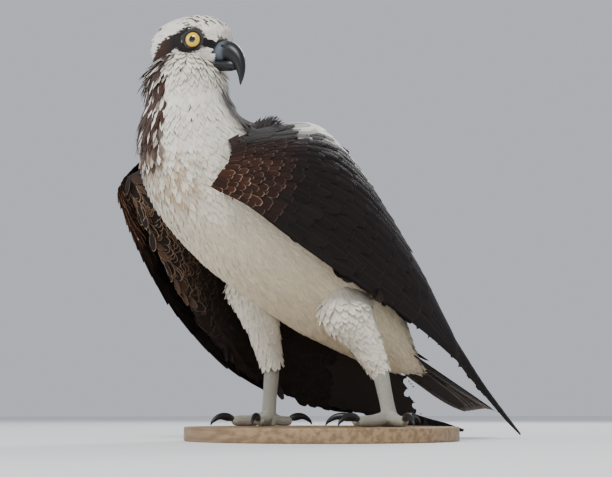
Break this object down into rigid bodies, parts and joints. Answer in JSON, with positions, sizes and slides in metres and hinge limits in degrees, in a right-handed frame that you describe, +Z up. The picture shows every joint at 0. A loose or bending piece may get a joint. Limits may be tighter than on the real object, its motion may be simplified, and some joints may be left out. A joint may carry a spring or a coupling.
{
  "type": "osprey",
  "caption": "Life-size osprey standing on a round base, wings folded, head turned to its left.",
  "frame": {"origin": "centre of the base's underside", "axes": "+Z up, the bird faces -Y, its left side is +X"},
  "size_m": [0.276, 0.4346, 0.4131],
  "materials": {
    "white_feathers": "matte",
    "dark_feathers": "matte",
    "horn": "satin",
    "leg_scales": "satin",
    "iris": "gloss",
    "base_wood": "satin"
  },
  "bodies": {
    "root": {"stand_base": "base_wood", "torso": "white_feathers", "neck": "white_feathers", "head": "white_feathers", "bill_upper": "horn", "bill_lower": "horn", "tail": "dark_feathers", "eye_left": "iris", "wing_left": "dark_feathers", "thigh_left": "white_feathers", "tarsus_left": "leg_scales", "foot_left": "leg_scales", "claw_left_1": "horn", "claw_left_2": "horn", "claw_left_3": "horn", "claw_left_4": "horn", "eye_right": "iris", "wing_right": "dark_feathers", "thigh_right": "white_feathers", "tarsus_right": "leg_scales", "foot_right": "leg_scales", "claw_right_1": "horn", "claw_right_2": "horn", "claw_right_3": "horn", "claw_right_4": "horn"}
  },
  "joints": []
}
